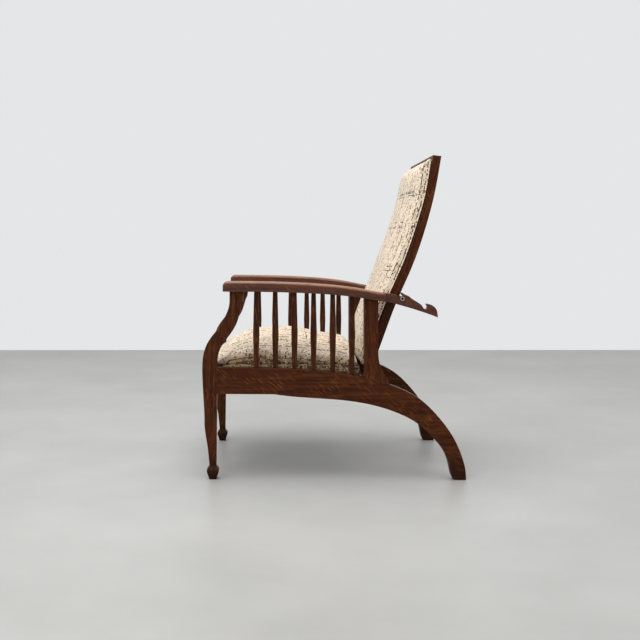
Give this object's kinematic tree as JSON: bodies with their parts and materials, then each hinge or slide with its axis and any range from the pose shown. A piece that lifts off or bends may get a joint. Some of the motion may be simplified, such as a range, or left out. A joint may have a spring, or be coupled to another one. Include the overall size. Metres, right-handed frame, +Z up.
{
  "type": "mission reclining armchair",
  "caption": "Oak reclining armchair with spindled sides, arched rear legs, notched arms that hold a steel rod behind the hinged back, and woven upholstery.",
  "frame": {"origin": "on the floor, at the middle of the chair's footprint", "axes": "+Z up, the front of the chair faces -Y, +X towards the sitter's left"},
  "size_m": [0.66, 0.8178, 1.0138],
  "materials": {
    "oak": "satin",
    "tweed_fabric": "matte",
    "cover_cloth": "matte",
    "jute_webbing": "matte",
    "hinge_steel": "satin",
    "screw_steel": "satin",
    "rod_steel": "satin"
  },
  "bodies": {
    "frame": {"arm_left": "oak", "arm_right": "oak", "cleat_screws": "screw_steel", "corner_blocks": "oak", "front_leg_left": "oak", "front_leg_right": "oak", "front_seat_rail": "oak", "hinge_base_leaves": "hinge_steel", "hinge_base_screws": "hinge_steel", "hinge_pins": "hinge_steel", "leg_and_post_dowels": "oak", "rail_dowels": "oak", "rear_post_left": "oak", "rear_post_right": "oak", "rear_seat_rail": "oak", "seat_bottom_cloth": "cover_cloth", "seat_cleat_left": "oak", "seat_cleat_right": "oak", "seat_cross_webbing": "jute_webbing", "seat_front_bar": "oak", "seat_long_webbing": "jute_webbing", "seat_pad": "tweed_fabric", "seat_rear_bar": "oak", "seat_side_rail_left": "oak", "seat_side_rail_right": "oak", "side_rail_left": "oak", "side_rail_right": "oak", "spindle_left_1": "oak", "spindle_left_2": "oak", "spindle_left_3": "oak", "spindle_left_4": "oak", "spindle_left_5": "oak", "spindle_left_6": "oak", "spindle_right_1": "oak", "spindle_right_2": "oak", "spindle_right_3": "oak", "spindle_right_4": "oak", "spindle_right_5": "oak", "spindle_right_6": "oak"},
    "back": {"back_bottom_rail": "oak", "back_cover_cloth": "cover_cloth", "back_middle_rail": "oak", "back_pad": "tweed_fabric", "back_stile_left": "oak", "back_stile_right": "oak", "back_top_rail": "oak", "back_webbing": "jute_webbing", "hinge_back_leaves": "hinge_steel", "hinge_back_screws": "hinge_steel"},
    "rod": {"support_rod": "rod_steel"}
  },
  "joints": [
    {"name": "back_tilt", "type": "hinge", "parent": "frame", "child": "back", "pos_m": [0, 0.12325, 0.32], "axis": [1, 0, 0], "range_deg": [0, 5]},
    {"name": "rod_turn", "type": "hinge", "parent": "frame", "child": "rod", "pos_m": [0, 0.21494, 0.56055], "axis": [1, 0, 0], "continuous": true}
  ]
}
